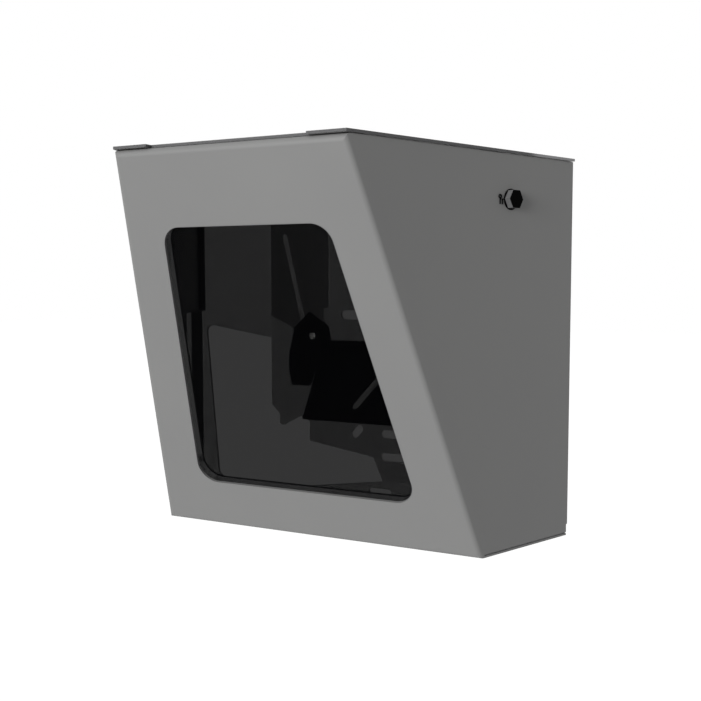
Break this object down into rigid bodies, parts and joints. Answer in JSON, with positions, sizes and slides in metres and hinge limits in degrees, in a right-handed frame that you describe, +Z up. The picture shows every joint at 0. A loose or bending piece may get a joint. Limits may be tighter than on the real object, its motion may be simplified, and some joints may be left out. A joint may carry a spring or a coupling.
{
  "type": "security camera housing",
  "caption": "Wedge-shaped wall housing of folded steel with a smoked sloping window, hinged drop-down cover, side lock and tilting camera bracket.",
  "frame": {"origin": "middle of the four wall holes, on the rear face of the wall frame", "axes": "+Y into the wall, +Z up, the front faces -Y and +X is the right side seen from the front"},
  "size_m": [0.3676, 0.221, 0.3081],
  "materials": {
    "painted_steel": "fine-textured grey powder coat",
    "black_steel": "black oxide",
    "zinc_plated_steel": "bright zinc plate",
    "smoked_glazing": "smoked polycarbonate",
    "rubber": "matt EPDM",
    "black_plastic": "matt black moulded nylon",
    "nylon": "natural nylon"
  },
  "bodies": {
    "wall_frame": {"wall_frame": "painted_steel", "lock_keeper": "painted_steel", "hinge_fixed_leaf": "zinc_plated_steel", "hinge_pin": "zinc_plated_steel", "hinge_frame_rivets": "zinc_plated_steel", "camera_bracket": "painted_steel", "rear_seals": "rubber", "bracket_studs": "zinc_plated_steel", "bracket_nuts": "zinc_plated_steel", "pivot_washer": "nylon", "pivot_bolt": "black_steel", "pivot_outer_washer": "zinc_plated_steel", "pivot_nut": "zinc_plated_steel"},
    "cover": {"cover": "painted_steel", "pane_gasket": "rubber", "window_pane": "smoked_glazing", "pane_clamp": "painted_steel", "pane_studs": "zinc_plated_steel", "pane_washers": "zinc_plated_steel", "pane_nuts": "zinc_plated_steel", "hinge_cover_leaf": "zinc_plated_steel", "hinge_cover_rivets": "zinc_plated_steel", "lock_body": "black_steel", "lock_nut": "zinc_plated_steel", "lock_wire": "black_steel"},
    "lock": {"lock_spindle": "painted_steel", "lock_cap": "black_plastic", "lock_cam": "zinc_plated_steel", "lock_cam_nut": "zinc_plated_steel"},
    "tilt_bracket": {"tilt_bracket": "black_steel", "peak_rivet": "zinc_plated_steel"}
  },
  "joints": [
    {"name": "cover_hinge", "type": "hinge", "parent": "wall_frame", "child": "cover", "pos_m": [0, -0.00478, -0.14578], "axis": [1, 0, 0], "range_deg": [0, 90]},
    {"name": "lock_turn", "type": "hinge", "parent": "cover", "child": "lock", "pos_m": [0.15411, -0.07074, 0.1236], "axis": [0.9272, -0.3746, 0], "range_deg": [0, 90]},
    {"name": "bracket_tilt", "type": "hinge", "parent": "wall_frame", "child": "tilt_bracket", "pos_m": [-0.0377, -0.029, 0.007], "axis": [1, 0, 0], "range_deg": [-15, 25]}
  ]
}
